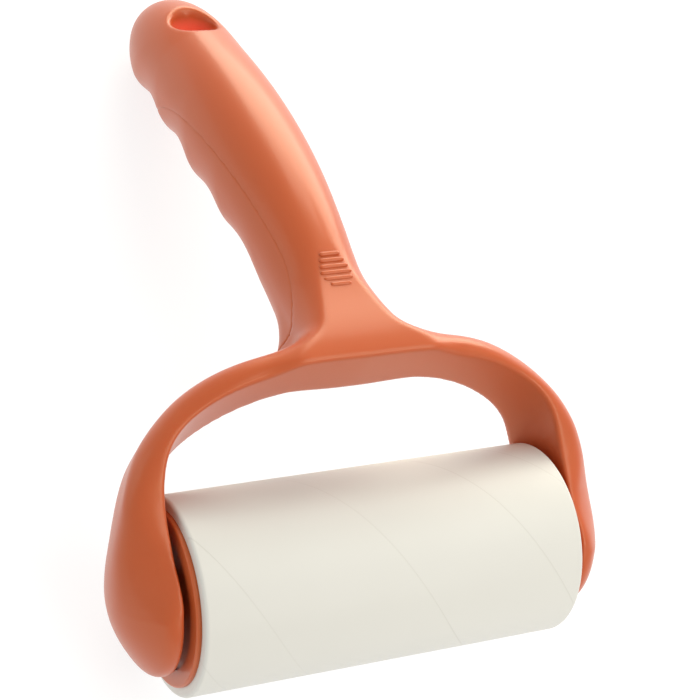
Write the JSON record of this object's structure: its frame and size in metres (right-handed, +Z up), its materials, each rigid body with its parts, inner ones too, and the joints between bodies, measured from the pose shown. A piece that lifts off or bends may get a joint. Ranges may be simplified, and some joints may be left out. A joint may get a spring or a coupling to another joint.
{
  "type": "lint roller",
  "caption": "Hand lint roller: a curved grip handle and arched yoke carry a freely turning roll of adhesive paper sheets between two end caps.",
  "frame": {"origin": "centre of the bounding box in X and Y, at the plane the roller rests on (under the sheet roll and the handle's tip)", "axes": "+X along the sheet roll, +Y from the roll towards the handle's tip, +Z up with the roller lying on its belly"},
  "size_m": [0.1276, 0.203, 0.0655],
  "materials": {
    "handle_plastic": "satin gloss, moulded",
    "cover_plastic": "satin gloss, moulded",
    "pin_plastic": "satin, moulded",
    "cap_plastic": "satin, moulded",
    "core_board": "matte",
    "wound_paper": "matte edge of the wound sheets",
    "sheet_paper": "satin coated paper"
  },
  "bodies": {
    "handle": {"handle_frame": "handle_plastic", "grip_cover": "cover_plastic", "left_pivot_pin": "pin_plastic", "right_pivot_pin": "pin_plastic"},
    "roll": {"left_end_cap": "cap_plastic", "right_end_cap": "cap_plastic", "roll_core": "core_board", "wound_sheets": "wound_paper", "outer_sheet": "sheet_paper"}
  },
  "joints": [
    {"name": "roll_spin", "type": "hinge", "parent": "handle", "child": "roll", "pos_m": [0, -0.0775, 0.024], "axis": [1, 0, 0], "continuous": true}
  ]
}
